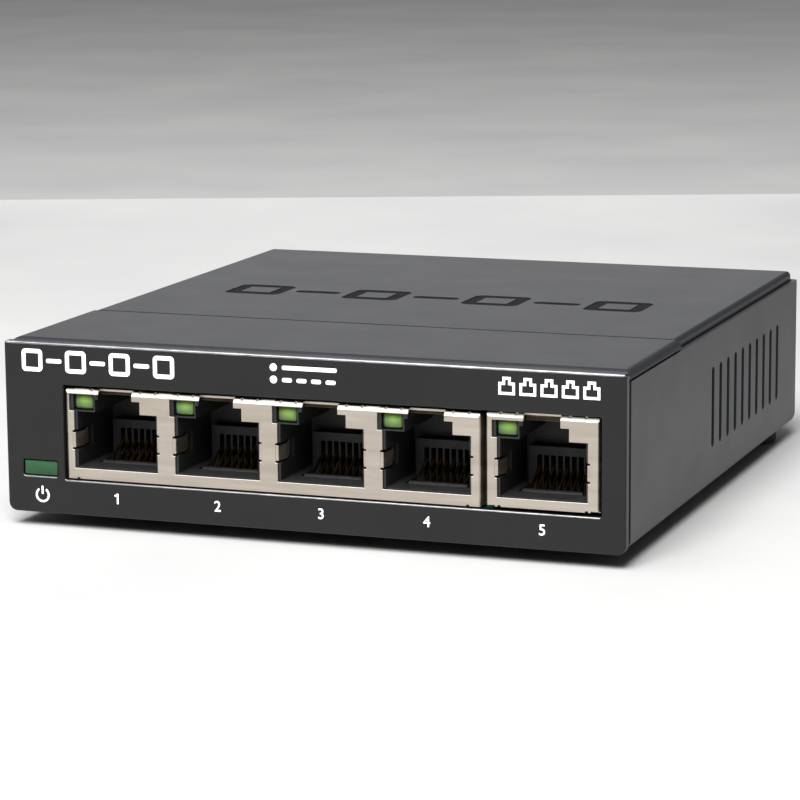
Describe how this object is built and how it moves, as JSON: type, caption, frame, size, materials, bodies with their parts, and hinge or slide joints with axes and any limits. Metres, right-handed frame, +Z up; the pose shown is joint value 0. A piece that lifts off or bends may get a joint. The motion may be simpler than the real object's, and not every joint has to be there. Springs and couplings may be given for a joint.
{
  "type": "desktop network switch",
  "caption": "Flat black metal network switch with a row of shielded front sockets, indicator windows, vented side walls, folded top cover, rubber feet and a rear power inlet.",
  "frame": {"origin": "on the table, under the middle of the bounding box", "axes": "+X to the right seen from the front, +Y from the front panel to the rear wall, +Z up"},
  "size_m": [0.094, 0.101, 0.0276],
  "materials": {
    "black_painted_steel": "satin black powder coat on folded steel",
    "black_panel_paint": "smooth satin black paint on the front panel",
    "tin_plate": "bright tin-plated spring steel",
    "black_plastic": "moulded glass-filled black nylon",
    "green_lens": "translucent green epoxy or polycarbonate",
    "black_rubber": "matt moulded rubber",
    "green_laminate": "solder mask on glass-epoxy laminate",
    "gold_wire": "gold-plated phosphor bronze spring wire",
    "bright_steel": "zinc or nickel plated steel",
    "aluminium": "extruded or drawn aluminium",
    "grey_silicone": "soft heat-conducting silicone sheet",
    "chip_plastic": "moulded black epoxy",
    "white_led": "white epoxy and phosphor"
  },
  "bodies": {
    "enclosure": {"base_tray": "black_painted_steel", "top_cover": "black_painted_steel", "front_brow": "black_painted_steel", "front_panel": "black_panel_paint", "rubber_foot_1": "black_rubber", "rubber_foot_2": "black_rubber", "rubber_foot_3": "black_rubber", "rubber_foot_4": "black_rubber", "cover_screw_1": "bright_steel", "cover_screw_2": "bright_steel", "gang_shield": "tin_plate", "gang_housing": "black_plastic", "single_shield": "tin_plate", "single_housing": "black_plastic", "port_led_1": "green_lens", "port_led_2": "green_lens", "port_led_3": "green_lens", "port_led_4": "green_lens", "port_led_5": "green_lens", "circuit_board": "green_laminate", "board_screw_1": "bright_steel", "board_screw_2": "bright_steel", "board_screw_3": "bright_steel", "board_screw_4": "bright_steel", "port_transformer_1": "chip_plastic", "port_transformer_2": "chip_plastic", "port_transformer_3": "chip_plastic", "port_transformer_4": "chip_plastic", "port_transformer_5": "chip_plastic", "switch_chip": "chip_plastic", "thermal_pad": "grey_silicone", "heat_sink": "aluminium", "memory_chip": "chip_plastic", "crystal": "bright_steel", "bulk_capacitor_1": "aluminium", "bulk_capacitor_2": "aluminium", "power_inductor_1": "chip_plastic", "power_inductor_2": "chip_plastic", "regulator_chip_1": "chip_plastic", "regulator_chip_2": "chip_plastic", "input_fuse": "chip_plastic", "protection_diode": "chip_plastic", "power_light_pipe": "green_lens", "power_led": "white_led", "dc_jack_body": "black_plastic", "dc_jack_pin": "bright_steel"},
    "contact_set_1": {"contact_comb_1": "gold_wire"},
    "contact_set_2": {"contact_comb_2": "gold_wire"},
    "contact_set_3": {"contact_comb_3": "gold_wire"},
    "contact_set_4": {"contact_comb_4": "gold_wire"},
    "contact_set_5": {"contact_comb_5": "gold_wire"},
    "inlet_contact": {"dc_jack_spring": "bright_steel"}
  },
  "joints": [
    {"name": "contact_press_1", "type": "hinge", "parent": "enclosure", "child": "contact_set_1", "pos_m": [-0.02968, -0.045, 0.00895], "axis": [-1, 0, 0], "range_deg": [0, 12], "stiffness_Nm_per_rad": 0.2, "springref_deg": -2.86},
    {"name": "contact_press_2", "type": "hinge", "parent": "enclosure", "child": "contact_set_2", "pos_m": [-0.0138, -0.045, 0.00895], "axis": [-1, 0, 0], "range_deg": [0, 12], "stiffness_Nm_per_rad": 0.2, "springref_deg": -2.86},
    {"name": "contact_press_3", "type": "hinge", "parent": "enclosure", "child": "contact_set_3", "pos_m": [0.00208, -0.045, 0.00895], "axis": [-1, 0, 0], "range_deg": [0, 12], "stiffness_Nm_per_rad": 0.2, "springref_deg": -2.86},
    {"name": "contact_press_4", "type": "hinge", "parent": "enclosure", "child": "contact_set_4", "pos_m": [0.01796, -0.045, 0.00895], "axis": [-1, 0, 0], "range_deg": [0, 12], "stiffness_Nm_per_rad": 0.2, "springref_deg": -2.86},
    {"name": "contact_press_5", "type": "hinge", "parent": "enclosure", "child": "contact_set_5", "pos_m": [0.03485, -0.045, 0.00895], "axis": [-1, 0, 0], "range_deg": [0, 12], "stiffness_Nm_per_rad": 0.2, "springref_deg": -2.86},
    {"name": "inlet_contact_press", "type": "hinge", "parent": "enclosure", "child": "inlet_contact", "pos_m": [-0.027, 0.04095, 0.0102], "axis": [-1, 0, 0], "range_deg": [0, 6], "stiffness_Nm_per_rad": 0.15, "springref_deg": -2.86}
  ]
}
